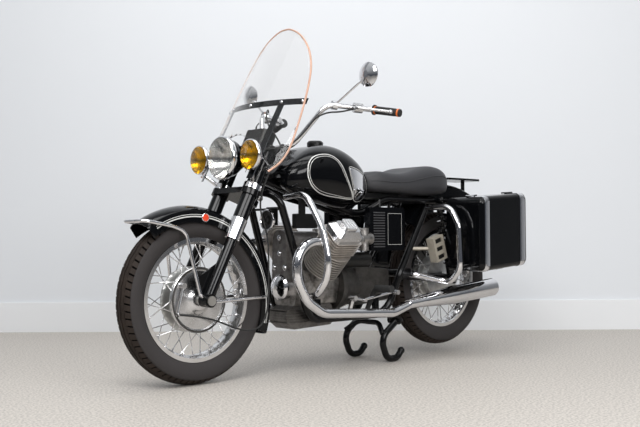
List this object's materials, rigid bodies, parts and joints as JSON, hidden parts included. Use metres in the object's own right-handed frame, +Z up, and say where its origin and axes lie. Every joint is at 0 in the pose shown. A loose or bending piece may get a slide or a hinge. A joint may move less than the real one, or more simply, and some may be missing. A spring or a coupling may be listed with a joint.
{
  "type": "touring motorcycle",
  "caption": "Solo touring motorcycle with a transverse V-twin engine, windscreen, driving lamps, crash bars, hard panniers with hinged lids and a centre stand.",
  "frame": {"origin": "on the floor, at the centre of the bounding box's base", "axes": "+X forward along the motorcycle's length, +Y to the rider's left, +Z up"},
  "size_m": [2.2439, 0.872, 1.458],
  "materials": {
    "black_paint": "high-gloss black enamel",
    "black_frame": "gloss black stove enamel",
    "chrome": "polished chrome plate",
    "wheel_metal": "chromed rim and spokes with a polished aluminium hub",
    "cast_aluminium": "sand-cast, dull",
    "polished_aluminium": "polished",
    "dark_casting": "oil-darkened casting",
    "tyre_rubber": "matt, a little worn",
    "grip_rubber": "matt",
    "seat_vinyl": "grained black vinyl",
    "clear_screen": "clear sheet with a tan edge",
    "lamp_glass": "fluted lenses in bright rims",
    "red_lens": "red lens",
    "black_plastic": "moulded black",
    "grey_box": "dull grey",
    "cable_black": "black cable sheath",
    "steel": "plated steel"
  },
  "bodies": {
    "chassis": {"frame": "black_frame", "swingarm": "black_frame", "rear_axle": "steel", "final_drive": "cast_aluminium", "rear_shocks": "black_paint", "crankcase": "cast_aluminium", "timing_cover": "cast_aluminium", "sump": "dark_casting", "barrels": "cast_aluminium", "cylinder_heads": "cast_aluminium", "rocker_covers": "polished_aluminium", "gearbox": "dark_casting", "starter": "black_frame", "carburettors": "cast_aluminium", "exhaust_headers": "chrome", "mufflers": "chrome", "fuel_tank": "black_paint", "tank_cap": "black_plastic", "seat": "seat_vinyl", "side_boxes": "black_paint", "coil_box": "black_plastic", "regulator": "grey_box", "horns": "black_paint", "guard_bars": "chrome", "rear_fender": "black_paint", "tail_lamp": "red_lens", "luggage_rack": "black_frame", "pannier_rails": "black_frame", "pannier_left": "black_paint", "pannier_right": "black_paint", "footpegs": "grip_rubber", "pedals": "chrome"},
    "steering": {"fork_yokes": "black_frame", "fork_legs": "black_paint", "fork_covers": "black_paint", "fork_collars": "chrome", "front_axle": "steel", "front_brake": "polished_aluminium", "front_fender": "black_paint", "fender_stays": "chrome", "front_lamps": "lamp_glass", "handlebar": "chrome", "grips": "grip_rubber", "hand_controls": "polished_aluminium", "mirrors": "chrome", "windscreen": "clear_screen", "screen_struts": "black_paint", "instruments": "black_plastic", "control_cables": "cable_black"},
    "front_wheel": {"front_wheel": "wheel_metal", "front_tyre": "tyre_rubber"},
    "rear_wheel": {"rear_wheel": "wheel_metal", "rear_tyre": "tyre_rubber"},
    "centre_stand": {"centre_stand": "black_frame"},
    "pannier_lid_left": {"pannier_lid_left": "black_paint"},
    "pannier_lid_right": {"pannier_lid_right": "black_paint"}
  },
  "joints": [
    {"name": "steering", "type": "hinge", "parent": "chassis", "child": "steering", "pos_m": [0.48513, 0, 0.8], "axis": [-0.4462, 0, 0.8949], "range_deg": [-36, 36]},
    {"name": "front_wheel_spin", "type": "hinge", "parent": "steering", "child": "front_wheel", "pos_m": [0.794, 0, 0.328], "axis": [0, 1, 0], "continuous": true},
    {"name": "rear_wheel_spin", "type": "hinge", "parent": "chassis", "child": "rear_wheel", "pos_m": [-0.676, 0, 0.363], "axis": [0, 1, 0], "continuous": true},
    {"name": "centre_stand_fold", "type": "hinge", "parent": "chassis", "child": "centre_stand", "pos_m": [-0.246, 0, 0.186], "axis": [0, 1, 0], "range_deg": [0, 90]},
    {"name": "pannier_lid_left_open", "type": "hinge", "parent": "chassis", "child": "pannier_lid_left", "pos_m": [-0.70149, 0.312, 0.41072], "axis": [-0.997, 0, 0.078], "range_deg": [0, 85]},
    {"name": "pannier_lid_right_open", "type": "hinge", "parent": "chassis", "child": "pannier_lid_right", "pos_m": [-0.70149, -0.312, 0.41072], "axis": [0.997, 0, -0.078], "range_deg": [0, 85]}
  ]
}
